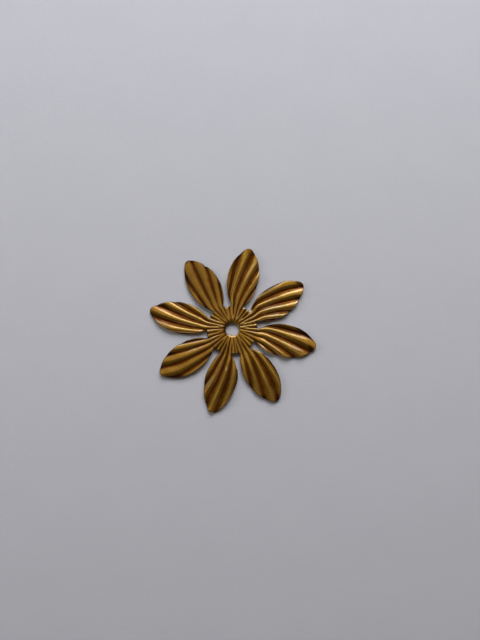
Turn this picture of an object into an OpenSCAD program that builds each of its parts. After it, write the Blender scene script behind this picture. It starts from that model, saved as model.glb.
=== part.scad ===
/* [Flower] */
// Number of petals around the disc
petals = 8; // [6:1:8]
// Distance from the centre to the tip of a petal
tip_r = 19; // [18:0.25:21]
// Thickness of the sheet, measured straight down
sheet = 0.4; // [0.3:0.05:0.5]
// Height of the dome, from the tips to the centre
dome_h = 0.5; // [0.2:0.05:1.2]

/* [Disc] */
// Radius of the fluted disc
disc_r = 5.75; // [5.25:0.05:6]
// Height of a flute at the edge of the disc
flute_h = 0.3; // [0.15:0.05:0.4]
// Radius of the centre hole
hole_r = 1.55; // [1.4:0.05:1.7]
// Radius of the plain ring around the hole
hub_r = 2; // [1.95:0.05:2.2]
// Depth of the plain ring below the flutes' middle height
hub_dip = 0.1; // [0:0.05:0.2]
// Width of the hole's rolled lip
lip_w = 0.25; // [0.1:0.05:0.25]
// Depth of the hole's rolled lip
lip_h = 0.15; // [0.05:0.05:0.15]

/* [Leaf] */
// Greatest width of a leaf
leaf_w = 7.15; // [6.4:0.05:7.4]
// Distance from the centre to a leaf's widest place
widest_r = 11.9; // [11:0.1:13]
// Length that the rounding takes off a leaf's point
blunt = 0.5; // [0.3:0.05:0.6]
// Greatest height of a leaf's ribs
rib_h = 0.6; // [0.3:0.05:0.8]

/* [Hidden] */

// Four and a half flutes of the disc belong to each petal
sector = 360 / petals;
flute_angle = sector / 4.5;
// The petals' axes lie half a sector off the X axis
function petal_angle(k) = sector * (k + 0.5);

// The pattern's valleys pass a petal's axis on its left, 1, or on its right, -1
SIDES = [1, -1, -1, 1, -1, 1, 1, -1];
function side(k) = SIDES[k % petals];
function phase(k) = side(k) / 4;

// Lines along the flutes and ribs, four to a pitch: a valley, a shoulder, a crest
// and a shoulder. Each line's place is counted in pitches from the valley of line 0.
shoulder = 0.2;
STEPS = [0, 0.5 - shoulder, 0.5, 0.5 + shoulder];
steps = len(STEPS);
function line_u(n) = floor(n / steps) + STEPS[n - steps * floor(n / steps)];
// A petal's first line is a crest or a valley, and lies as far from its axis either way
function first_line(k) = side(k) > 0 ? -6 : -4;
neck_columns = 11;
columns = 15;
neck_angle = (line_u(first_line(0)) + phase(0)) * -flute_angle;
neck_x = disc_r * cos(neck_angle);
neck_half = disc_r * sin(neck_angle);

// A petal's ribs in sections from its neck to its tip. The place is a share of the
// leaf's length, the pitch and the shift to the side are shares of its width, and
// the height is a share of rib_h.
PLACE = 0;
PITCH = 1;
SHIFT = 2;
HEIGHT = 3;
SECTIONS = [
    [0.0, disc_r * flute_angle * PI / 180 / leaf_w, 0, flute_h / rib_h],
    [0.1, 0.185, -0.015, 0.70],
    [0.2, 0.220, -0.045, 0.90],
    [0.4, 0.280, -0.130, 1.00],
    [0.6, 0.340, -0.240, 1.00],
    [0.8, 0.380, -0.355, 0.90],
    [1.0, 0.390, -0.470, 0.60],
];

// The leaf's outline: an arc from the neck to the widest place, an arc on towards
// the point, and a small arc that rounds the tip
half_w = leaf_w / 2;
inner_run = widest_r - neck_x;
inner_rise = half_w - neck_half;
inner_arc_r = (inner_run ^ 2 + inner_rise ^ 2) / (2 * inner_rise);
tip_run = tip_r - widest_r;
outer_arc_r = ((tip_run + blunt) ^ 2 + half_w ^ 2) / leaf_w;
outer_centre = outer_arc_r - half_w;
point_r = (outer_arc_r ^ 2 - tip_run ^ 2 - outer_centre ^ 2) / (2 * (outer_arc_r - tip_run));
point_x = tip_r - point_r;
point_start = point_x + point_r * (point_x - widest_r) / (outer_arc_r - point_r);

function half_width(x) =
    x <= widest_r ? sqrt(inner_arc_r ^ 2 - (widest_r - x) ^ 2) - inner_arc_r + half_w
    : x <= point_start ? sqrt(outer_arc_r ^ 2 - (x - widest_r) ^ 2) - outer_centre
    : sqrt(max(0, point_r ^ 2 - (x - point_x) ^ 2));

// The value of one column of SECTIONS at a share t of the leaf's length, on a
// smooth curve through the rows
last_row = len(SECTIONS) - 1;
function row_before(t, i = 0) =
    i < last_row - 1 && t >= SECTIONS[i + 1][PLACE] ? row_before(t, i + 1) : i;
function trend(i, column) =
    let (a = SECTIONS[max(i - 1, 0)], b = SECTIONS[min(i + 1, last_row)])
    (b[column] - a[column]) / (b[PLACE] - a[PLACE]);
function along(t, column) =
    let (
        i = row_before(t),
        a = SECTIONS[i],
        b = SECTIONS[i + 1],
        span = b[PLACE] - a[PLACE],
        s = (t - a[PLACE]) / span
    )
    a[column] * (1 + 2 * s) * (1 - s) ^ 2 + b[column] * s ^ 2 * (3 - 2 * s)
    + span * s * (1 - s) * (trend(i, column) * (1 - s) - trend(i + 1, column) * s);

function share(x) = max(0, x - disc_r) / (tip_r - disc_r);
function pitch(x) = leaf_w * along(share(x), PITCH);
function shift(x) = leaf_w * along(share(x), SHIFT);

// Height of a rib across one pitch, from 0 in its valleys to 1 on its crest
function swell(u) = abs(sin(180 * u)) ^ 1.5;
// Height of the middle of the ribs at a distance r from the centre
function dome(r) = dome_h * (1 - (r / tip_r) ^ 2);

function disc_z(r, u) =
    let (grown = max(0, (r - hub_r) / (disc_r - hub_r)))
    dome(max(r, hub_r)) - (r <= hub_r ? hub_dip : 0) + flute_h * grown * (swell(u) - 0.5);
function leaf_z(k, x, y) =
    let (
        height = rib_h * along(share(x), HEIGHT),
        u = (y - shift(x)) / pitch(x) - phase(k)
    )
    dome(norm([x, y])) + height * (swell(u) - 0.5);

// Rings of the disc, from inside the hole to its edge
RINGS = [hole_r - 0.35, hub_r, hub_r + 0.5, (hub_r + disc_r) / 2, disc_r];
rings = len(RINGS);

// Rows across a leaf, which come closer together towards its tip
rows = 14;
function row_x(i) = neck_x + (tip_r - neck_x) * sin(90 * i / rows);

function turned(p, angle) = [
    p[0] * cos(angle) - p[1] * sin(angle),
    p[0] * sin(angle) + p[1] * cos(angle),
    p[2]
];

// Lines of the disc from one petal's first line to the next petal's, and the number
// of lines before petal k
function whole_flutes(k) = side(k + 1) > 0 ? 5 : 4;
function sector_lines(k) =
    steps * whole_flutes(k) + first_line(k + 1) - first_line(k);
function lines_before(k) = k == 0 ? 0 : lines_before(k - 1) + sector_lines(k - 1);
around = lines_before(petals);

// A line's angle from its petal's axis. Between two necks the flutes share the room.
function line_angle(k, j) =
    let (
        n = first_line(k) + j,
        neck_end = line_u(first_line(k) + neck_columns - 1),
        next_neck = line_u(first_line(k) + sector_lines(k))
    )
    j < neck_columns ? (line_u(n) + phase(k)) * flute_angle
    : neck_angle + (line_u(n) - neck_end) / (next_neck - neck_end) * (sector - 2 * neck_angle);

disc_points = [
    for (r = RINGS, k = [0:petals - 1], j = [0:sector_lines(k) - 1])
        turned([r, 0, disc_z(r, line_u(first_line(k) + j))], petal_angle(k) + line_angle(k, j))
];

// The first and last columns of a leaf's row lie on its two edges, and so does a
// line that would run past an edge
function line_y(k, i, j) =
    let (x = row_x(i))
    j == 0 ? -leaf_w : j == columns - 1 ? leaf_w
    : shift(x) + pitch(x) * (line_u(first_line(k) + j) + phase(k));
function leaf_y(k, i, j) =
    let (w = i < rows ? half_width(row_x(i)) : 0)
    min(max(line_y(k, i, j), -w), w);
leaf_points = [
    for (k = [0:petals - 1], i = [1:rows], j = [0:columns - 1])
        let (x = row_x(i), y = leaf_y(k, i, j))
        turned([x, y, leaf_z(k, x, y)], petal_angle(k))
];

upper = concat(disc_points, leaf_points);
count = len(upper);
lowest = min([for (p = upper) p[2]]) - sheet;
points = concat(
    [for (p = upper) [p[0], p[1], p[2] - lowest]],
    [for (p = upper) [p[0], p[1], p[2] - lowest - sheet]]
);

// Index of a point of the disc, by ring and by line round the whole disc
function disc_at(ring, c) = ring * around + c % around;

// A line that comes this near an edge, as a share of the half width, joins it
joins_at = 0.96;
function kept_column(k, i, j) =
    let (reach = joins_at * half_width(row_x(i)), y = line_y(k, i, j))
    y >= reach ? columns - 1 : y <= -reach ? 0 : j;

// Index of a point of petal k. Row 0 is the neck, on the disc's edge.
function leaf_at(k, i, j) =
    i == 0 ? disc_at(rings - 1, lines_before(k) + min(j, neck_columns - 1))
    : len(disc_points) + (k * rows + i - 1) * columns + (i == rows ? 0 : kept_column(k, i, j));

// The two triangles of a cell, without one that has shrunk to nothing
function cell(a, b, c, d) = [
    for (t = [[a, b, c], [a, c, d]])
        if (t[0] != t[1] && t[1] != t[2] && t[2] != t[0]) t
];

upper_faces = concat(
    [
        for (ring = [0:rings - 2], c = [0:around - 1])
            each cell(disc_at(ring, c), disc_at(ring, c + 1),
                      disc_at(ring + 1, c + 1), disc_at(ring + 1, c))
    ],
    [
        for (k = [0:petals - 1], i = [0:rows - 1], j = [0:columns - 2])
            each cell(leaf_at(k, i, j), leaf_at(k, i, j + 1),
                      leaf_at(k, i + 1, j + 1), leaf_at(k, i + 1, j))
    ]
);

// Free edges of the sheet, each as a pair of points
edges = concat(
    [for (c = [0:around - 1]) [disc_at(0, c + 1), disc_at(0, c)]],
    [
        for (k = [0:petals - 1], j = [neck_columns - 1:sector_lines(k) - 1])
            let (c = lines_before(k) + j)
            [disc_at(rings - 1, c), disc_at(rings - 1, c + 1)]
    ],
    [
        for (k = [0:petals - 1], i = [0:rows - 1])
            each [
                [leaf_at(k, i, 0), leaf_at(k, i + 1, 0)],
                [leaf_at(k, i + 1, columns - 1), leaf_at(k, i, columns - 1)]
            ]
    ]
);

faces = concat(
    upper_faces,
    [for (f = upper_faces) [f[2] + count, f[1] + count, f[0] + count]],
    [for (e = edges) each cell(e[0], e[1], e[1] + count, e[0] + count)]
);

hub_top = disc_z(hub_r, 0) - lowest;
slack = 0.5;

// The whole stamping: a fluted disc with its centre hole, and the ribbed petals
module flower() {
    color("#8f6d25")
    difference() {
        polyhedron(points, faces);
        translate([0, 0, hub_top - sheet - slack])
            cylinder(r = hole_r, h = sheet + 2 * slack, $fn = 64);
        translate([0, 0, hub_top - lip_h])
            cylinder(r1 = hole_r, r2 = hole_r + 2 * lip_w, h = 2 * lip_h, $fn = 64);
    }
}

flower();
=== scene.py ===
import math
from collections import namedtuple

import bmesh
import bpy
from mathutils import Matrix, Vector, kdtree, noise


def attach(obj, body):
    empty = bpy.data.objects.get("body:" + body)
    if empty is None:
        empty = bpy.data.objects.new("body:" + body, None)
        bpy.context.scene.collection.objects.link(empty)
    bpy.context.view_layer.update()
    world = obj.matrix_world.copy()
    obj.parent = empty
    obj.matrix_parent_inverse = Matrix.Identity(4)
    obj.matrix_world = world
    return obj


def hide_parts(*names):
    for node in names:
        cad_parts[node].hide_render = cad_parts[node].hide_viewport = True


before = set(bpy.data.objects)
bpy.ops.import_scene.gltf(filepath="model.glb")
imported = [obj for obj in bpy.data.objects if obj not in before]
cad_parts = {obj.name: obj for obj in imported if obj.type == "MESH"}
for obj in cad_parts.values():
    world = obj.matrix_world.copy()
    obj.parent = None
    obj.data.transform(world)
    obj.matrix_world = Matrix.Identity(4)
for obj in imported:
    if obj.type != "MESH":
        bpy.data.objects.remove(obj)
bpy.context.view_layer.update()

MM = 0.001


# Small helpers

def mix(a, b, t):
    """The value at a share t of the way from a to b."""
    return a + (b - a) * t


def ramp(low, high, x):
    """0 below low, 1 above high and smooth between them."""
    t = min(1.0, max(0.0, (x - low) / (high - low)))
    return t * t * (3 - 2 * t)


def cos_deg(angle):
    return math.cos(math.radians(angle))


# The flower's sizes in millimetres and degrees, as in the part's source

PETALS = 8
TIP_R = 19.0
SHEET = 0.4
DOME_H = 0.5
DISC_R = 5.75
FLUTE_H = 0.3
HOLE_R = 1.55
HUB_R = 2.0
HUB_DIP = 0.1
LIP_W = 0.25
LIP_H = 0.15
LEAF_W = 7.15
WIDEST_R = 11.9
BLUNT = 0.5
RIB_H = 0.6

# Flutes to a petal, and flutes from the middle of a neck to its side
PETAL_FLUTES = 4.5
NECK_FLUTES = 1.25
SECTOR = 360 / PETALS
FLUTE_ANGLE = SECTOR / PETAL_FLUTES
NECK_ANGLE = NECK_FLUTES * FLUTE_ANGLE
NECK_X = DISC_R * cos_deg(NECK_ANGLE)
NECK_HALF = DISC_R * math.sin(math.radians(NECK_ANGLE))
LEAF_LONG = TIP_R - DISC_R

# A petal's ribs in sections from its neck to its tip. The place is a share of
# the leaf's length, the pitch and the shift to the side are shares of its width,
# and the height is a share of RIB_H.
PLACE, PITCH, SHIFT, HEIGHT = range(4)
SECTIONS = [
    (0.0, DISC_R * math.radians(FLUTE_ANGLE) / LEAF_W, 0.000, FLUTE_H / RIB_H),
    (0.1, 0.185, -0.015, 0.70),
    (0.2, 0.220, -0.045, 0.90),
    (0.4, 0.280, -0.130, 1.00),
    (0.6, 0.340, -0.240, 1.00),
    (0.8, 0.380, -0.355, 0.90),
    (1.0, 0.390, -0.470, 0.60),
]

# How each petal differs from the pattern, counted round from the X axis:
# side: where the pattern's valley passes the petal's axis, on its left, 1, or its right, -1
# wide: half width added
# full: how much wider it is towards its tip, as a share
# long: length added at the tip
# bend, tip_bend: how far its middle and its tip bend to the left
# rib, tip_rib: height of its ribs at its middle and at its tip, as a share
# slip, tip_slip, end_slip: how far its ribs lie to the left at its root, how far towards
# its tip, and how far more at its very end
# calm: how much lower its ribs are along its left edge, or its right edge where negative
# lift: how far its tip is lifted
# slot: how far the disc's edge lies out from its place in the slot after the petal
Petal = namedtuple("Petal", "side wide full long bend tip_bend rib tip_rib "
                            "slip tip_slip end_slip calm lift slot")
PETAL_SHAPES = [
    Petal(1, 0.04, 0.00, 0.25, -0.10, 0.05, 1.05, 1.00, 0.42, -0.20, -0.45, 0.0, 0.15, -0.10),
    Petal(-1, -0.03, 0.04, 0.00, 0.03, 0.05, 1.10, 1.15, 0.00, -0.25, 0.25, 0.0, 0.03, -0.45),
    Petal(-1, -0.05, 0.00, -0.15, -0.14, 0.15, 0.38, 0.35, -0.06, 0.15, 0.20, 0.0, 0.00, -0.10),
    Petal(1, -0.04, 0.00, 0.15, -0.05, -0.25, 1.08, 1.00, -0.20, 0.43, 0.25, 0.0, 0.20, -0.10),
    Petal(-1, -0.04, 0.05, -0.05, -0.05, -0.15, 0.58, 0.72, -0.10, 0.10, -0.35, 0.3, 0.20, -0.10),
    Petal(1, -0.04, 0.00, 0.15, 0.07, -0.35, 1.10, 0.90, -0.14, 0.08, 0.50, 0.4, 0.20, -0.25),
    Petal(1, 0.00, 0.05, 0.00, 0.12, 0.00, 0.72, 0.45, -0.10, -0.06, 0.10, -0.4, 0.08, -0.10),
    Petal(-1, 0.08, 0.09, 0.40, 0.10, 0.30, 1.05, 0.90, 0.14, -0.40, 0.20, 0.0, 0.18, 0.05),
]

# Places where a petal's outline lies out from the pattern's: the petal, its left side, 1,
# or its right, -1, the place along it, the reach and the distance
Bulge = namedtuple("Bulge", "petal side x long out")
BULGES = [
    Bulge(5, 1, 9.3, 3.0, 0.28),
    Bulge(0, 1, 16.5, 1.3, 0.20),
]

# Dark marks and painted highlights: the petal, the place along and across it, the reach both
# ways, how far the mark leans, and how dark it is or, where negative, how bright a painted
# highlight it is. The dark marks are partly spots on the brass and partly painted shade over
# whole petals; the painted highlights stand for glints on crests and at cut corners.
Mark = namedtuple("Mark", "petal x y long wide lean depth")
MARKS = [
    Mark(0, 18.6, 0.60, 0.6, 0.75, -1.00, 0.80),
    Mark(0, 12.6, 3.10, 2.4, 0.34, 0.00, 0.70),
    Mark(0, 11.0, 3.00, 2.0, 0.14, 0.10, 0.75),
    Mark(0, 16.6, -1.65, 0.8, 0.50, -0.60, 0.60),
    Mark(0, 5.75, 1.30, 0.45, 0.40, 0.00, -0.90),
    Mark(0, 10.6, -0.75, 1.9, 0.30, -0.42, -0.32),
    Mark(0, 9.8, -2.35, 1.2, 0.28, -0.35, -0.35),
    Mark(0, 12.0, 0.92, 1.4, 0.35, -0.25, 0.42),
    Mark(1, 3.7, -0.50, 1.4, 0.55, 0.00, -0.14),
    Mark(1, 14.2, -1.26, 2.6, 0.22, -0.30, -0.32),
    Mark(1, 11.25, -1.85, 0.28, 0.20, 0.00, 1.00),
    Mark(1, 16.6, 2.10, 0.8, 0.22, -0.35, 0.80),
    Mark(1, 18.3, 0.20, 0.9, 0.90, 0.00, 0.45),
    Mark(1, 5.45, -1.75, 0.30, 0.35, 0.00, -0.90),
    Mark(2, 5.6, -1.85, 0.30, 0.35, 0.00, 1.00),
    Mark(2, 12.5, 0.00, 8.0, 6.00, 0.00, 0.44),
    Mark(2, 4.2, 0.00, 1.6, 1.00, 0.00, 0.40),
    Mark(2, 4.2, -1.70, 1.6, 0.70, 0.00, 0.30),
    Mark(2, 15.5, 0.00, 2.5, 4.00, 0.00, 0.50),
    Mark(2, 5.2, -1.75, 0.20, 0.60, 0.00, -0.90),
    Mark(2, 13.6, 2.95, 2.2, 0.22, -0.22, 0.70),
    Mark(2, 18.5, 0.45, 0.3, 0.60, -0.80, 0.80),
    Mark(3, 15.8, 1.88, 2.2, 0.40, -0.22, 0.50),
    Mark(3, 16.2, -2.00, 1.1, 0.45, -0.55, 0.70),
    Mark(4, 10.1, -2.50, 1.9, 0.45, -0.42, 0.32),
    Mark(4, 14.5, -2.75, 1.1, 0.38, -0.40, 0.90),
    Mark(4, 15.8, 2.30, 1.4, 0.50, -0.55, 0.45),
    Mark(4, 12.0, 0.00, 7.0, 6.00, 0.00, 0.20),
    Mark(5, 12.6, 2.10, 4.5, 1.50, 0.00, 0.45),
    Mark(5, 8.95, 0.75, 0.45, 0.22, 0.00, -0.80),
    Mark(5, 12.5, -2.20, 1.7, 0.32, -0.30, -0.22),
    Mark(6, 17.0, 0.00, 4.0, 6.00, 0.00, 0.45),
    Mark(6, 3.8, 0.00, 2.0, 1.00, 0.00, 0.25),
    Mark(6, 3.8, -1.60, 1.8, 0.70, 0.00, 0.28),
    Mark(6, 12.8, -2.00, 4.5, 1.50, 0.00, 0.50),
    Mark(6, 7.05, 2.00, 0.9, 0.14, 0.70, -0.90),
    Mark(6, 9.0, -2.55, 1.5, 0.40, 0.00, 0.40),
    Mark(7, 15.9, 2.85, 1.9, 0.42, -0.36, 0.95),
    Mark(7, 11.6, 3.25, 1.7, 0.16, 0.05, 0.80),
    Mark(7, 18.3, -0.25, 0.9, 0.60, -0.45, 1.00),
    Mark(7, 16.4, 0.36, 2.6, 0.40, -0.29, 0.55),
    Mark(7, 16.0, -1.65, 2.0, 0.55, -0.25, 0.42),
    Mark(7, 12.6, 2.85, 3.6, 0.55, -0.16, 0.58),
    Mark(7, 3.8, 0.00, 2.0, 1.00, 0.00, 0.30),
    Mark(7, 4.4, 1.60, 1.4, 0.60, 0.00, 0.30),
]

# Painted shade darkens the disc close around the hole, most of all at the upper left, where the
# hole's edge faces away from the light. The power of a cosine spreads that round, and it ends
# between two distances.
HUB_SHADE = 0.75
HUB_SHADE_TURN = 140
HUB_SHADE_POWER = 0.7
HUB_SHADE_END = (1.8, 2.5)
# It is darker all over, least of all at the upper right, and less so towards its edge
DISC_DARKER = 0.14
DARKER_SWING = 0.12
LIGHTEST_TURN = 45
RIM_LIGHTER = 0.6
RIM = (4.5, 6.5)

# Height of the flutes round the disc, from the X axis on, as a share: they are low above
# and below the hole
FLUTE_SHARES = [0.95, 1.3, 1.3, 0.15, 0.22, 1.0, 0.55, 0.6, 0.7, 0.15, 0.38, 0.45]
FLUTE_SHARE_STEP = 360 / len(FLUTE_SHARES)
# Near the hub they are lower, and run together in pairs that part between two distances
HUB_FLUTE = 0.55
PAIRS_PART = (2.2, 4.0)
# They bow aside towards the hole, except at the lower left, where they are almost straight
FLUTE_BOW = 0.4
STRAIGHTENED = 0.9
STRAIGHT_FROM, STRAIGHT_TO = (170, 190), (230, 270)
# Power of a sine that gives a rib its round crest and narrow valleys
CREST_POWER = 1.25

# The hole's lip is rolled in further at one side, where it stands in over the hole, is
# deeper and flattens the flutes
ROLL_IN = 0.22
ROLL_TURN = -117
ROLL_POWER = 4
ROLL_DEEPER = 0.7
ROLL_FLATTENS = 0.8
# How far beyond the hub that flattening and the hub's dip end, how far the flutes keep
# clear of the hole, and the power that gives the lip its curve
ROLL_REACH = 0.8
HUB_REACH = 0.5
FLUTES_CLEAR = 0.1
LIP_POWER = 1.2
# The hole lies a little off the middle of the petals
HOLE_ASIDE = Vector((0.12, 0.02, 0))
# Where the disc begins to reach out or in to its edge in a slot, and the angle beside a
# neck over which that sets in
SLOT_R = 4
SLOT_SHOULDER = 4

# Stretches of a leaf, as shares of its length: where its own ribs take over from the
# flutes, where the slip of its ribs sets in, turns into the tip's and the end's, where
# its ribs get the tip's height, where it grows fuller and where its outline starts to vary
RIBS_START = (0, 0.3)
SLIP_START = (0, 0.17)
TIP_SLIP_RUN = (0.1, 0.9)
END_SLIP_RUN = (0.68, 1.0)
TIP_RIB_RUN = (0.5, 0.9)
FULL_RUN = (0.5, 0.85)
OUTLINE_START = (0.1, 0.3)
# Stretches across a leaf, as shares of its half width: where its ribs turn calm towards
# one edge, and where its points follow the outline
CALM_RUN = (-0.2, 0.7)
OUTLINE_RUN = (0.5, 0.88)
# Distances from a leaf's axis between which its points start to follow the outline
AXIS_RUN = (0, 0.5)

# How far a valley that runs out to a leaf's edge draws the outline in, how far it does
# beyond the step in one petal's outline, and where along the petal that step is
DRAW_IN, STEP_IN = 0.08, 0.24
STEPPED_PETAL = 2
STEP_RUN = (13, 14.5)

# Size and spacing of the sheet's shallow dents and of its grain
DENT_H, DENT_RUN = 0.025, 2.2
GRAIN_H, GRAIN_RUN = 0.005, 0.6

# Steps of the mesh: steps to a flute, from a neck's middle to its side and round the
# disc, rows along a leaf, rings on the lip, and distances from a cut edge that have a
# line of points
FLUTE_STEPS = 20
NECK_STEPS = round(NECK_FLUTES * FLUTE_STEPS)
AROUND = round(360 / FLUTE_ANGLE) * FLUTE_STEPS
LEAF_ROWS = 64
LIP_STEPS = 4
EDGE_STEPS = [0.0, 0.03, 0.08, 0.16]
DISC_RINGS = ([1.9, HUB_R, 2.2, 2.5, 2.8, 3.1, 3.4, 3.8, 4.2, 4.6, 5.0, 5.35]
              + [DISC_R - d for d in reversed(EDGE_STEPS)])
# How much the rows crowd towards the tip, the first rows, which still follow the round
# edge of the disc, and the half width below which the steps from the edge shrink
ROW_CROWD = 0.85
ROUND_ROWS = (0, 0.12)
SHRINK_W = 0.6
# How far the cut edges are rounded down, and up from below
EDGE_ROLL = 0.07


# The pattern

def petal_axis(k):
    return SECTOR * (k + 0.5)


def phase(k):
    """How far to the left of petal k's axis the valley next to it lies, in pitches."""
    return PETAL_SHAPES[k % PETALS].side / 4


def whole_flutes(k):
    """Flutes of the disc between the pattern's valleys at petals k and k + 1."""
    return 5 if phase(k + 1) > 0 else 4


FLUTES_BEFORE = [sum(whole_flutes(i) for i in range(k)) for k in range(PETALS)]


def flutes_round(angle):
    """Flutes counted round the disc, from petal 0's valley to an angle from its axis."""
    k, turn = divmod(angle % 360, SECTOR)
    k = int(k) % PETALS
    start = NECK_FLUTES - phase(k)
    end = whole_flutes(k) - NECK_FLUTES - phase(k + 1)
    if turn <= NECK_ANGLE:
        u = turn / FLUTE_ANGLE - phase(k)
    elif turn >= SECTOR - NECK_ANGLE:
        u = end + (turn - SECTOR + NECK_ANGLE) / FLUTE_ANGLE
    else:
        u = mix(start, end, (turn - NECK_ANGLE) / (SECTOR - 2 * NECK_ANGLE))
    return FLUTES_BEFORE[k] + u


def row_before(t):
    """The last row of SECTIONS that lies before a share t of the leaf's length."""
    i = 0
    while i < len(SECTIONS) - 2 and t >= SECTIONS[i + 1][PLACE]:
        i += 1
    return i


def trend(i, column):
    """Slope of one column of SECTIONS at row i."""
    a, b = SECTIONS[max(i - 1, 0)], SECTIONS[min(i + 1, len(SECTIONS) - 1)]
    return (b[column] - a[column]) / (b[PLACE] - a[PLACE])


def along(t, column):
    """One column of SECTIONS at a share t of the leaf's length, on a smooth curve."""
    i = row_before(t)
    a, b = SECTIONS[i], SECTIONS[i + 1]
    span = b[PLACE] - a[PLACE]
    s = (t - a[PLACE]) / span
    return (a[column] * (1 + 2 * s) * (1 - s) ** 2 + b[column] * s * s * (3 - 2 * s)
            + span * s * (1 - s) * (trend(i, column) * (1 - s) - trend(i + 1, column) * s))


def leaf_share(x):
    """The share of the leaf's length that lies before a distance x from the centre."""
    return max(0.0, x - DISC_R) / LEAF_LONG


# A leaf's outline: an arc from the neck to the widest place, an arc on towards the
# point, and a small arc that rounds the tip
HALF_W = LEAF_W / 2
INNER_RISE = HALF_W - NECK_HALF
INNER_R = ((WIDEST_R - NECK_X) ** 2 + INNER_RISE ** 2) / (2 * INNER_RISE)
TIP_RUN = TIP_R - WIDEST_R
OUTER_R = ((TIP_RUN + BLUNT) ** 2 + HALF_W ** 2) / LEAF_W
OUTER_CENTRE = OUTER_R - HALF_W
POINT_R = (OUTER_R ** 2 - TIP_RUN ** 2 - OUTER_CENTRE ** 2) / (2 * (OUTER_R - TIP_RUN))
POINT_X = TIP_R - POINT_R
POINT_START = POINT_X + POINT_R * (POINT_X - WIDEST_R) / (OUTER_R - POINT_R)


def half_width(x):
    """Half the leaf's width at a distance x from the flower's centre."""
    if x <= WIDEST_R:
        return math.sqrt(INNER_R ** 2 - (WIDEST_R - x) ** 2) - INNER_R + HALF_W
    if x <= POINT_START:
        return math.sqrt(OUTER_R ** 2 - (x - WIDEST_R) ** 2) - OUTER_CENTRE
    return math.sqrt(max(0.0, POINT_R ** 2 - (x - POINT_X) ** 2))


def swell(u):
    """Height of a rib across one pitch, 0 in its valleys and 1 on its crest."""
    return abs(math.sin(math.pi * u)) ** CREST_POWER


def dome(r):
    """Height of the middle of the ribs at a distance r from the centre."""
    return DOME_H * (1 - (r / TIP_R) ** 2)


def uneven(place):
    """Height of the sheet's dents and grain at a place."""
    return (DENT_H * noise.noise(place / DENT_RUN)
            + GRAIN_H * noise.noise(place / GRAIN_RUN))


# The disc

def bow(angle):
    """How far the flutes bow aside near the hole, at an angle from 0 to 360."""
    straight = STRAIGHTENED * (ramp(*STRAIGHT_FROM, angle) - ramp(*STRAIGHT_TO, angle))
    return FLUTE_BOW * cos_deg(angle) * (1 - straight)


def roll(angle):
    """How much of the lip's roll there is at an angle, from 0 to 1."""
    return max(0.0, cos_deg(angle - ROLL_TURN)) ** ROLL_POWER


def flute_share(angle):
    """Height of the flutes at an angle, as a share."""
    place = angle % 360 / FLUTE_SHARE_STEP
    i = int(place)
    return mix(FLUTE_SHARES[i], FLUTE_SHARES[(i + 1) % len(FLUTE_SHARES)], ramp(0, 1, place - i))


def slot_depth(angle):
    """How far the disc's edge lies out from its place, in the slots between petals."""
    k, turn = divmod((angle - petal_axis(0)) % 360, SECTOR)
    room = (ramp(NECK_ANGLE, NECK_ANGLE + SLOT_SHOULDER, turn)
            - ramp(-SLOT_SHOULDER, 0, turn - SECTOR + NECK_ANGLE))
    return PETAL_SHAPES[int(k) % PETALS].slot * room


def disc_height(r, angle):
    """A disc point's height, how near its flute's crest it is, and its place in flutes."""
    bowed = math.degrees(bow(angle % 360) * (1 / r - 1 / DISC_R))
    u = flutes_round(angle - petal_axis(0) - bowed)
    rolled = roll(angle)
    past_lip = ramp(HOLE_R, HUB_R, r)
    flute = mix(swell(u / 2), swell(u), ramp(*PAIRS_PART, r))
    flute = mix(1.0, flute, past_lip)
    z = dome(max(r, HUB_R)) - HUB_DIP * (1 - ramp(HUB_R, HUB_R + HUB_REACH, r))
    z -= LIP_H * (1 + ROLL_DEEPER * rolled) * (1 - past_lip) ** LIP_POWER
    grown = ramp(HOLE_R + FLUTES_CLEAR, HUB_R, r) * mix(HUB_FLUTE, 1.0, ramp(HUB_R, DISC_R, r))
    flattened = ROLL_FLATTENS * rolled * (1 - ramp(HUB_R, HUB_R + ROLL_REACH, r))
    grown *= flute_share(angle) * (1 - flattened)
    return z + FLUTE_H * grown * (flute - 0.5), flute, u


def stain(k, x, y):
    """How dark petal k is at a place from its marks and painted shade, up to 1, or how bright a
    painted highlight is there, down to -1.

    A mark ends quickly along its length and fades out across it.
    """
    dark_and_shade = painted_highlight = 0.0
    for m in MARKS:
        if m.petal == k:
            along_it = (x - m.x) / m.long
            across_it = (y - m.y - m.lean * (x - m.x)) / m.wide
            depth = m.depth * math.exp(-(along_it ** 4 + across_it ** 2))
            dark_and_shade, painted_highlight = max(dark_and_shade, depth), min(painted_highlight, depth)
    return dark_and_shade + painted_highlight


def disc_marks_and_painted_light(r, angle):
    """How dark the disc is at a place, from marks, painted shade round the hole and a general
    darkening, or how bright a painted highlight is there.
    """
    k, turn = divmod(angle % 360, SECTOR)
    turn = math.radians(turn - SECTOR / 2)
    marks_and_highlights = stain(int(k) % PETALS, r * math.cos(turn), r * math.sin(turn))
    # Painted shade close around the hole
    side = max(0.0, cos_deg(angle - HUB_SHADE_TURN)) ** HUB_SHADE_POWER
    dark_and_shade = HUB_SHADE * side * (1 - ramp(*HUB_SHADE_END, r))
    overall_darkening = DISC_DARKER - DARKER_SWING * cos_deg(angle - LIGHTEST_TURN)
    return marks_and_highlights + (dark_and_shade + overall_darkening * (1 - RIM_LIGHTER * ramp(*RIM, r)))


# A point of the upper face: its place, how near a crest it is, its place in flutes and along
# them, and how dark its marks and painted shade make it, or how bright a painted highlight is
# there
Point = namedtuple("Point", "place rib flow stain")


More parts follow.
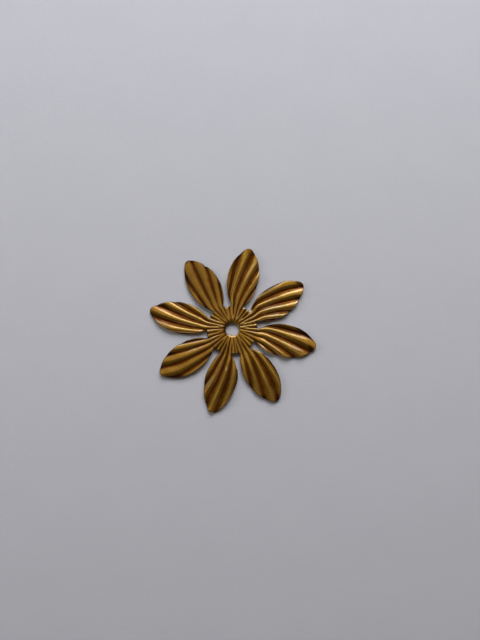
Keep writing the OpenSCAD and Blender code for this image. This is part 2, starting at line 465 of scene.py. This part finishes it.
def disc_point(x, y):
    """The point of the disc above a place on the flat pattern."""
    r = math.hypot(x, y)
    angle = math.degrees(math.atan2(y, x))
    z, rib, u = disc_height(r, angle)
    out = 1 + slot_depth(angle) * ramp(SLOT_R, DISC_R, r) / r
    out -= ROLL_IN * roll(angle) * (1 - ramp(HOLE_R, HUB_R, r)) / r
    place = Vector((x * out, y * out, z))
    place += HOLE_ASIDE * (1 - ramp(HUB_R, DISC_R, r))
    return Point(place, rib, (u, r, 0), disc_marks_and_painted_light(r, angle))


# The leaves

def leaf_place(row, column):
    """Place of a leaf's point on the flat pattern, with x along the petal."""
    s = row / LEAF_ROWS
    reach = mix(s, math.sin(math.pi / 2 * s), ROW_CROWD)
    x = NECK_X + (TIP_R - NECK_X) * reach
    half = half_width(x) if row < LEAF_ROWS else 0.0
    inset = NECK_STEPS - abs(column)
    last = len(EDGE_STEPS) - 1
    shrink = min(1.0, half / SHRINK_W)
    if inset < last:
        y = half - EDGE_STEPS[inset] * shrink
    else:
        y = (half - EDGE_STEPS[last] * shrink) * abs(column) / (NECK_STEPS - last)
    turn = math.radians(NECK_ANGLE) * column / NECK_STEPS
    x += (DISC_R * math.cos(turn) - NECK_X) * (1 - ramp(*ROUND_ROWS, s))
    return x, math.copysign(y, column)


def leaf_height(k, x, y):
    """A leaf point's height, how near its rib's crest it is, and its place in flutes."""
    t = leaf_share(x)
    shape = PETAL_SHAPES[k]
    slip = mix(shape.slip, shape.tip_slip, ramp(*TIP_SLIP_RUN, t)) * ramp(*SLIP_START, t)
    slip += shape.end_slip * ramp(*END_SLIP_RUN, t)
    u = (y - LEAF_W * along(t, SHIFT) - slip) / (LEAF_W * along(t, PITCH)) - phase(k)
    root = flute_share(petal_axis(k) + math.degrees(math.atan2(y, x)))
    towards_edge = y * math.copysign(1, shape.calm) / HALF_W
    calm = 1 - abs(shape.calm) * ramp(*CALM_RUN, towards_edge)
    height = calm * mix(shape.rib, shape.tip_rib, ramp(*TIP_RIB_RUN, t))
    height = mix(root, height, ramp(*RIBS_START, t))
    rib = swell(u)
    z = dome(math.hypot(x, y)) + RIB_H * height * along(t, HEIGHT) * (rib - 0.5)
    z += shape.lift * t * t
    return z, rib, FLUTES_BEFORE[k] + u


def bulged(k, x, y):
    """How far the outline of petal k lies out from the pattern's on y's side."""
    return sum(b.out * math.exp(-((x - b.x) / b.long) ** 4)
               for b in BULGES if b.petal == k and b.side * y > 0)


def outline_change(k, column, x, y, rib):
    """How far a point near the edge of petal k moves with its outline."""
    near_edge = (ramp(*OUTLINE_RUN, abs(column) / NECK_STEPS)
                 * ramp(*OUTLINE_START, leaf_share(x)))
    step = ramp(*STEP_RUN, x) if k == STEPPED_PETAL and y < 0 else 0.0
    drawn = mix(DRAW_IN, STEP_IN, step)
    out = bulged(k, x, y) - drawn * (1 - rib) ** 3
    return math.copysign(1, y) * out * near_edge * ramp(*AXIS_RUN, abs(y))


def leaf_point(k, row, column):
    """The point of petal k in a row and a column of its mesh."""
    x, y = leaf_place(row, column)
    z, rib, u = leaf_height(k, x, y)
    shape = PETAL_SHAPES[k]
    t = leaf_share(x)
    y *= 1 + shape.wide / HALF_W * ramp(*RIBS_START, t) + shape.full * ramp(*FULL_RUN, t)
    y += outline_change(k, column, x, y, rib)
    y += shape.bend * math.sin(math.pi * min(1.0, t)) + shape.tip_bend * t ** 3
    x += shape.long * t ** 4
    place = Matrix.Rotation(math.radians(petal_axis(k)), 3, "Z") @ Vector((x, y, z))
    return Point(place, rib, (u, x, 0), stain(k, x, y))


# The stamping

Layers = namedtuple("Layers", "petal row column edge rib stain flow")


def grow_disc(bm):
    """Rings of quads from the hole's wall to the edge of the disc. Returns the rim."""
    bmesh.ops.create_circle(bm, cap_ends=False, segments=AROUND, radius=HOLE_R)
    edges = bm.edges[:]
    lip = [HOLE_R + LIP_W * (1 - math.cos(math.pi / 2 * i / LIP_STEPS))
           for i in range(1, LIP_STEPS + 1)]
    before = HOLE_R
    for r in lip + DISC_RINGS:
        new = bmesh.ops.extrude_edge_only(bm, edges=edges)["geom"]
        verts = [g for g in new if isinstance(g, bmesh.types.BMVert)]
        edges = [g for g in new if isinstance(g, bmesh.types.BMEdge)]
        bmesh.ops.scale(bm, vec=(r / before, r / before, 1), verts=verts)
        before = r
    return edges


def flute_step(v):
    """A rim point's place around the disc, in steps from the axis of petal 0."""
    angle = math.degrees(math.atan2(v.co.y, v.co.x)) - petal_axis(0)
    return round(angle / FLUTE_ANGLE * FLUTE_STEPS) % AROUND


def grow_leaves(bm, rim, layers):
    """Extrudes the necks out of the rim, one row of quads at a time."""
    per_petal = AROUND // PETALS
    necks = set()
    for v in {v for e in rim for v in e.verts}:
        k, step = divmod(flute_step(v) + per_petal // 2, per_petal)
        step -= per_petal // 2
        if abs(step) <= NECK_STEPS:
            v[layers.petal], v[layers.column] = k % PETALS, step
            necks.add(v)
    edges = [e for e in rim if necks.issuperset(e.verts)]
    for row in range(1, LEAF_ROWS + 1):
        new = bmesh.ops.extrude_edge_only(bm, edges=edges)["geom"]
        edges = [g for g in new if isinstance(g, bmesh.types.BMEdge)]
        for v in new:
            if isinstance(v, bmesh.types.BMVert):
                v[layers.row] = row


def stamped_sheet():
    """The sheet's upper face, with what its finish needs in layers."""
    bm = bmesh.new()
    ints, floats = bm.verts.layers.int, bm.verts.layers.float
    layers = Layers(ints.new("petal"), ints.new("row"), ints.new("column"),
                    floats.new("edge"), floats.new("rib"), floats.new("stain"),
                    bm.verts.layers.float_vector.new("flow"))
    grow_leaves(bm, grow_disc(bm), layers)
    for v in bm.verts:
        if v[layers.row]:
            point = leaf_point(v[layers.petal], v[layers.row], v[layers.column])
        else:
            point = disc_point(v.co.x, v.co.y)
        point.place.z += uneven(Vector((point.place.x, point.place.y, 0)))
        v.co = point.place
        v[layers.rib], v[layers.flow], v[layers.stain] = point.rib, point.flow, point.stain
    # The last row of a leaf lies in one place, its tip
    bmesh.ops.remove_doubles(bm, verts=bm.verts, dist=0.0005)
    return bm, layers


def measure_edges(bm, layers):
    """Writes how far each point lies from the nearest outer cut edge, in plan."""
    cut = {v for e in bm.edges if e.is_boundary for v in e.verts
           if math.hypot(v.co.x, v.co.y) > HUB_R}
    tree = kdtree.KDTree(len(cut))
    for i, v in enumerate(cut):
        tree.insert((v.co.x, v.co.y, 0), i)
    tree.balance()
    for v in bm.verts:
        v[layers.edge] = tree.find((v.co.x, v.co.y, 0))[2]


def thicken(bm, layers):
    """Gives the sheet its underside and rounds its outer cut edges a little."""
    upper = bm.verts[:]
    new = bmesh.ops.extrude_face_region(bm, geom=bm.faces[:])["geom"]
    lower = [g for g in new if isinstance(g, bmesh.types.BMVert)]
    bmesh.ops.translate(bm, vec=(0, 0, -SHEET), verts=lower)
    for verts, sign in ((upper, -1), (lower, 1)):
        for v in verts:
            near = max(0.0, 1 - v[layers.edge] / EDGE_STEPS[-1])
            if math.hypot(v.co.x, v.co.y) > HUB_R:
                v.co.z += sign * EDGE_ROLL * near * near
    bmesh.ops.recalc_face_normals(bm, faces=bm.faces)


def put_in_order(elements, key):
    """Sorts points, edges or faces, which operators list in another order on each run."""
    order = {e: i for i, e in enumerate(sorted(elements, key=key))}
    elements.sort(key=order.get)
    elements.index_update()


def make_object(name, bm, material):
    """Turns a bmesh into an object of that name with smooth faces."""
    mesh = bpy.data.meshes.new(name)
    bm.to_mesh(mesh)
    bm.free()
    mesh.shade_smooth()
    mesh.materials.append(material)
    piece = bpy.data.objects.new(name, mesh)
    bpy.context.scene.collection.objects.link(piece)
    return piece


def stamping(material):
    """The flower, resting on the floor on its lowest edges."""
    bm, layers = stamped_sheet()
    measure_edges(bm, layers)
    thicken(bm, layers)
    lowest = min(v.co.z for v in bm.verts)
    bmesh.ops.translate(bm, vec=(0, 0, -lowest), verts=bm.verts)
    bmesh.ops.scale(bm, vec=(MM, MM, MM), verts=bm.verts)
    put_in_order(bm.verts, lambda v: v.co[:])
    for elements in (bm.edges, bm.faces):
        put_in_order(elements, lambda e: sorted(v.index for v in e.verts))
    return make_object("flower_stamping", bm, material)


# Finishes

class Signal:
    """A socket whose sums, differences and products add their own Math nodes."""

    def __init__(self, nodes, socket):
        self.nodes, self.socket = nodes, socket

    def __add__(self, other):
        return self.nodes.math("ADD", self, other)

    def __sub__(self, other):
        return self.nodes.math("SUBTRACT", self, other)

    def __rsub__(self, other):
        return self.nodes.math("SUBTRACT", other, self)

    def __mul__(self, other):
        return self.nodes.math("MULTIPLY", self, other)

    __radd__ = __add__
    __rmul__ = __mul__

    def clamped(self):
        return self.nodes.math("ADD", self, 0.0, use_clamp=True)

    def between(self, low, high, start=0.0, end=1.0):
        """start below low, end above high and smooth between them."""
        return self.nodes.node(
            "ShaderNodeMapRange",
            {"Value": self, "From Min": low, "From Max": high, "To Min": start, "To Max": end},
            interpolation_type="SMOOTHSTEP")


class Nodes:
    """A tree of nodes, added one method call at a time."""

    def __init__(self, tree):
        self.tree = tree
        tree.nodes.clear()

    def node(self, kind, sockets=None, output=0, **settings):
        """Adds a node with its settings and the values or links of its sockets."""
        made = self.tree.nodes.new(kind)
        for name, setting in settings.items():
            setattr(made, name, setting)
        for name, given in (sockets or {}).items():
            if isinstance(given, Signal):
                self.tree.links.new(given.socket, made.inputs[name])
            else:
                made.inputs[name].default_value = given
        return Signal(self, made.outputs[output])

    def math(self, operation, first, second, **settings):
        return self.node("ShaderNodeMath", {0: first, 1: second}, operation=operation, **settings)

    def end(self, kind, shader):
        """Ends the tree in an output node."""
        self.tree.links.new(shader.socket, self.tree.nodes.new(kind).inputs["Surface"])


class Finish(Nodes):
    """The nodes of a material."""

    def __init__(self, name):
        self.material = bpy.data.materials.new(name)
        self.material.use_nodes = True
        super().__init__(self.material.node_tree)

    def places(self):
        return self.node("ShaderNodeTexCoord", output="Object")

    def attribute(self, name, output="Fac"):
        return self.node("ShaderNodeAttribute", output=output, attribute_name=name)

    def noise(self, places, scale, detail, roughness=0.5):
        return self.node("ShaderNodeTexNoise", {
            "Vector": places, "Scale": scale, "Detail": detail, "Roughness": roughness})

    def scaled(self, places, vector):
        return self.node("ShaderNodeVectorMath", {0: places, 1: vector}, operation="MULTIPLY")

    def blend(self, factor, first, second):
        """A mix of two colours."""
        return self.node("ShaderNodeMix", {0: factor, 6: first, 7: second}, output=2,
                         data_type="RGBA")

    def bump(self, height, strength, distance):
        return self.node("ShaderNodeBump", {
            "Height": height, "Strength": strength, "Distance": distance})

    def surface(self, **sockets):
        """Ends the material in a Principled shader with those sockets."""
        shader = self.node("ShaderNodeBsdfPrincipled", {
            name.replace("_", " "): given for name, given in sockets.items()})
        self.end("ShaderNodeOutputMaterial", shader)
        return self.material


# Colours of the brass: in the valleys, darkened by tarnish and painted shade, on the ribs, of its
# fine specks, under grime and painted shade, and of painted highlights
VALLEY_TARNISH_AND_SHADE = (0.165, 0.035, 0.0003, 1)
RIB_GOLD = (0.500, 0.255, 0.012, 1)
SPECK_BROWN = (0.200, 0.080, 0.004, 1)
GRIME_AND_SHADE_BLACK = (0.034, 0.006, 0.0005, 1)
PAINTED_HIGHLIGHT_BRASS = (0.95, 0.80, 0.50, 1)
# Shares of a rib's height between which the brass turns from the valley colour, tarnish and
# painted shade, to clean and lit, how dull even a crest is, and how much blotches and streaks
# change that
CLEAN_AND_LIT_RISE = (0.05, 0.85)
DULLNESS = 0.05
BLOTCHY = 1.1
STREAKY = 1.1
# Streaks to a rib's width and to a millimetre along it
STREAKS = (9.0, 0.55, 1.0)
# Brown specks show where the grain is high
SPECKS = (0.40, 0.75)
SPECKLED = 0.35
# A thin dark line, grime and painted shade, lies along a cut edge, and a broad darkening where a
# valley, up to a share of a rib's height, runs out to it. Widths are in millimetres.
LINE_W = 0.22
LINE_GRIME_AND_SHADE = 0.45
RUN_OUT_W = 1.3
RUN_OUT_RISE = 0.6
RUN_OUT_DARKENING = 0.8
# Roughness of the brass, and how clean places, grime and painted shade, painted highlights and
# the grain change it
SATIN = 0.34
CLEAN_SMOOTHER = 0.06
SPOTS_ROUGHER = 0.2
GRAIN_ROUGHER = 0.08
# Shares of grain, blotches and streaks in the brass's relief
GRAIN_RELIEF, BLOTCH_RELIEF, STREAK_RELIEF = 0.6, 0.3, 0.5
BRASS_BUMP = 0.06 * MM
# How much of a thin smooth film the clean brass shines with
FILM = 0.8

PAPER_SHADE = (0.735, 0.732, 0.800, 1)
PAPER_LIGHT = (0.785, 0.778, 0.845, 1)
PAPER_BUMP = 0.3 * MM

# The middle of a noise's range
MIDDLE = 0.5


def old_brass():
    """Sheet brass gone brown, cleaner on the ribs and darker in the valleys, where tarnish and
    painted shade darken it.
    """
    brass = Finish("old_brass")
    places = brass.places()
    rib, edge, marks_shade_and_highlights = (brass.attribute(name) for name in ("rib", "edge", "stain"))
    blotch = brass.noise(places, scale=420, detail=4, roughness=0.65)
    grain = brass.noise(places, scale=2400, detail=5, roughness=0.7)
    flow = brass.scaled(brass.attribute("flow", "Vector"), STREAKS)
    streak = brass.noise(flow, scale=1, detail=6, roughness=0.65)
    clean_and_lit = rib.between(*CLEAN_AND_LIT_RISE) - DULLNESS
    clean_and_lit += (blotch - MIDDLE) * BLOTCHY + (streak - MIDDLE) * STREAKY
    clean_and_lit = clean_and_lit.clamped()
    # The valleys' darker colour is tarnish and painted shade
    colour = brass.blend(clean_and_lit, VALLEY_TARNISH_AND_SHADE, RIB_GOLD)
    colour = brass.blend(grain.between(*SPECKS) * SPECKLED, colour, SPECK_BROWN)
    # Grime and painted shade: a line along the cut edges, a darkening where valleys run out to
    # them, and the marks
    line = edge.between(0, LINE_W, 1, 0)
    run_out = edge.between(0, RUN_OUT_W, 1, 0) * (1 - rib.between(0, RUN_OUT_RISE))
    grime_and_shade = (line * LINE_GRIME_AND_SHADE + run_out * RUN_OUT_DARKENING + marks_shade_and_highlights).clamped()
    colour = brass.blend(grime_and_shade, colour, GRIME_AND_SHADE_BLACK)
    # Painted highlights where the marks go below zero
    painted_highlight = (0 - marks_shade_and_highlights).clamped()
    colour = brass.blend(painted_highlight, colour, PAINTED_HIGHLIGHT_BRASS)
    rough = SATIN - clean_and_lit * CLEAN_SMOOTHER + (grime_and_shade + painted_highlight) * SPOTS_ROUGHER
    rough += (grain - MIDDLE) * GRAIN_ROUGHER
    relief = grain * GRAIN_RELIEF + blotch * BLOTCH_RELIEF + streak * STREAK_RELIEF
    return brass.surface(
        Base_Color=colour, Metallic=0.82, Roughness=rough,
        Coat_Weight=clean_and_lit * (1 - grime_and_shade) * FILM, Coat_Roughness=0.14, Coat_IOR=1.95,
        Normal=brass.bump(relief, strength=0.65, distance=BRASS_BUMP))


def pale_paper():
    """Matt paper with a faint mottle."""
    paper = Finish("pale_paper")
    places = paper.places()
    mottle = paper.noise(places, scale=90, detail=5, roughness=0.6)
    fibre = paper.noise(places, scale=900, detail=3)
    return paper.surface(
        Base_Color=paper.blend(mottle, PAPER_SHADE, PAPER_LIGHT), Roughness=0.85,
        Normal=paper.bump(fibre + mottle, strength=0.12, distance=PAPER_BUMP))


# Camera, room, lights and floor

# The picture is the CAD frame turned by about ten degrees, seen from almost above. The
# frame's turn in it is given about the camera's right, up and back, in degrees, and the
# camera's place from the flower along them, in millimetres.
PICTURE_TURN = 10.02
VIEW_TURN = Vector((-4.25, 0.02, PICTURE_TURN))
VIEW_PLACE = Vector((1.85, 2.24, 109.7))
FOCAL_PX = 481.0
FRAME_H_PX = 640
SENSOR_MM = 36.0
CLIP_START = 5 * MM

# Half the floor's width in metres, and the colours and strength of the room around it
FLOOR_HALF = 0.6
ROOM_DIM = (1.0, 0.88, 0.68, 1)
ROOM_STRENGTH = 0.06
WALL_GREY = (0.44, 0.44, 0.48, 1)

WINDOW_BLUE = (0.79, 0.90, 1.0)
WARM = (1.0, 0.84, 0.36)
LOW_WARM = (1.0, 0.92, 0.78)
COOL = (0.96, 0.98, 1.0)

# Soft lights turned towards the flower: the turn from the picture's right and the height
# above the paper in degrees, the distance and the size in metres, the power, the colour
Panel = namedtuple("Panel", "name turn height away size watts colour")
# The metal mirrors a window and a wide soft light, and three low ones when it is seen
# from the side
MIRRORED = [
    Panel("window", 88, 32, 0.38, (0.55, 0.115), 0.95, WINDOW_BLUE),
    Panel("soft", 88, 75, 0.30, (0.42, 0.33), 0.24, WARM),
] + [Panel("low", turn, 9, 0.60, (0.80, 0.14), 0.35, LOW_WARM) for turn in (178, 268, 358)]
# The paper is lit by two more, which the metal doesn't mirror
FALLING = [
    Panel("sky", 82, 40, 0.45, (0.36, 0.30), 1.55, COOL),
    Panel("side", 165, 28, 0.60, (0.24, 0.24), 0.70, COOL),
]


def camera():
    """The camera that shows the flower as the picture does."""
    data = bpy.data.cameras.new("camera")
    data.sensor_width = SENSOR_MM
    data.lens = SENSOR_MM * FOCAL_PX / FRAME_H_PX
    data.clip_start = CLIP_START
    eye = bpy.data.objects.new("camera", data)
    angle = math.radians(VIEW_TURN.length)
    to_world = Matrix.Rotation(angle, 3, VIEW_TURN.normalized()).transposed()
    eye.matrix_world = Matrix.Translation(to_world @ VIEW_PLACE * MM) @ to_world.to_4x4()
    bpy.context.scene.collection.objects.link(eye)
    bpy.context.scene.camera = eye


def room():
    """A dim room whose far walls show almost as pale as the paper."""
    world = bpy.data.worlds.new("room")
    world.use_nodes = True
    nodes = Nodes(world.node_tree)
    dim = nodes.node("ShaderNodeBackground", {"Color": ROOM_DIM, "Strength": ROOM_STRENGTH})
    wall = nodes.node("ShaderNodeBackground", {"Color": WALL_GREY})
    seen = nodes.node("ShaderNodeLightPath", output="Is Camera Ray")
    either = nodes.node("ShaderNodeMixShader", {0: seen, 1: dim, 2: wall})
    nodes.end("ShaderNodeOutputWorld", either)
    bpy.context.scene.world = world


def light(panel):
    """A soft light, turned towards the flower and itself out of sight."""
    data = bpy.data.lights.new(panel.name, "AREA")
    data.shape = "RECTANGLE"
    data.size, data.size_y = panel.size
    data.energy, data.color = panel.watts, panel.colour
    lamp = bpy.data.objects.new(panel.name, data)
    turn, height = math.radians(panel.turn - PICTURE_TURN), math.radians(panel.height)
    towards = Vector((math.cos(turn) * math.cos(height), math.sin(turn) * math.cos(height),
                      math.sin(height)))
    lamp.location = towards * panel.away
    lamp.rotation_euler = towards.to_track_quat("Z", "Y").to_euler()
    lamp.visible_camera = False
    bpy.context.scene.collection.objects.link(lamp)
    return lamp


def studio():
    """The lights, with colours shown as they are."""
    bpy.context.scene.view_settings.view_transform = "Standard"
    for panel in MIRRORED:
        light(panel).visible_diffuse = False
    for panel in FALLING:
        light(panel).visible_glossy = False


def floor(material):
    """The sheet of paper that the flower lies on."""
    bm = bmesh.new()
    bmesh.ops.create_grid(bm, x_segments=2, y_segments=2, size=FLOOR_HALF)
    make_object("paper_floor", bm, material)


camera()
room()
studio()
floor(pale_paper())
flower = stamping(old_brass())
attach(flower, "root")
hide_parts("flower")
